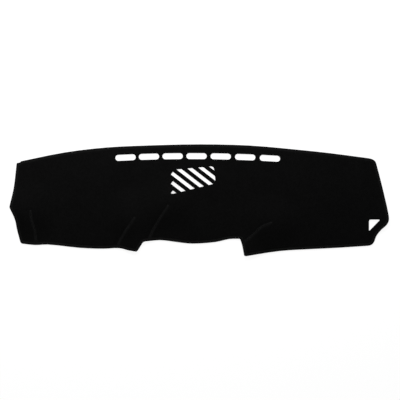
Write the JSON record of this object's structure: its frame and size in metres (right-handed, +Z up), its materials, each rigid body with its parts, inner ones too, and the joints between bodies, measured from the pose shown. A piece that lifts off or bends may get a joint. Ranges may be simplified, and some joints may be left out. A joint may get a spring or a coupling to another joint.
{
  "type": "dashboard cover mat",
  "caption": "Flat carpet mat cut to lie over a vehicle dashboard, with demister slots, slanted speaker slits, a corner hole, sewn darts and a taped edge.",
  "frame": {"origin": "on the surface that the mat lies on, under the middle of its length and depth", "axes": "+X along the mat's length, to the right as seen from above with the windscreen edge ahead; +Y towards the windscreen edge; +Z up, out of the pile"},
  "size_m": [1.4501, 0.428, 0.0204],
  "materials": {
    "pile_carpet": "matte",
    "edge_tape": "matte",
    "seam_thread": "satin"
  },
  "bodies": {
    "root": {"mat": "pile_carpet", "tape_windscreen_left": "edge_tape", "tape_front_left": "edge_tape", "tape_notch": "edge_tape", "tape_front_right": "edge_tape", "tape_windscreen_right": "edge_tape", "dart_seam_left_end": "seam_thread", "dart_seam_left": "seam_thread", "dart_seam_middle": "seam_thread", "dart_seam_right": "seam_thread"}
  },
  "joints": []
}
